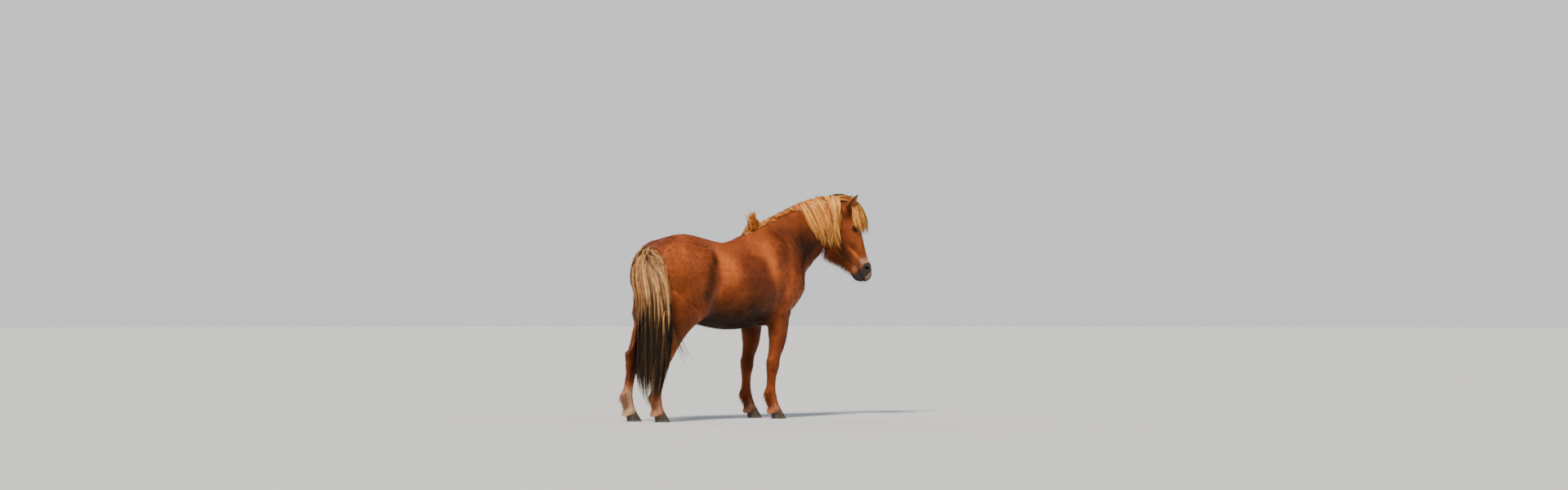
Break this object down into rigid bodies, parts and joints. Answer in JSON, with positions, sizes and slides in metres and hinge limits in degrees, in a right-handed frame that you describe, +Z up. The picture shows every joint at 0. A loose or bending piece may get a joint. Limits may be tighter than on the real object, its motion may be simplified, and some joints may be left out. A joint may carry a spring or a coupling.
{
  "type": "icelandic horse",
  "caption": "Life-size still model of a chestnut icelandic horse, standing with its head turned to the right, for display on a floor.",
  "frame": {"origin": "on the floor, below the middle of the bounding box, level with the hoof soles", "axes": "+X towards the horse's front, +Y towards its left side, +Z up"},
  "size_m": [2.2462, 0.6408, 1.6876],
  "materials": {
    "coat": "short glossy red-brown summer coat on skin",
    "mane_hair": "long flaxen-golden hair",
    "tail_hair": "long flaxen and grey-brown hair",
    "hoof": "dark horn, slightly worn",
    "eye": "dark, wet and glossy"
  },
  "bodies": {
    "root": {"torso": "coat", "neck": "coat", "head": "coat", "ear_right": "coat", "ear_left": "coat", "eye_right": "eye", "eye_left": "eye", "forelock": "mane_hair", "mane": "mane_hair", "tail": "tail_hair", "hoof_fore_leg_left": "hoof", "hoof_fore_leg_right": "hoof", "hoof_hind_leg_left": "hoof", "hoof_hind_leg_right": "hoof", "lower_fore_leg_left": "coat", "lower_fore_leg_right": "coat", "lower_hind_leg_left": "coat", "lower_hind_leg_right": "coat", "upper_fore_leg_left": "coat", "upper_fore_leg_right": "coat", "upper_hind_leg_left": "coat", "upper_hind_leg_right": "coat"}
  },
  "joints": []
}
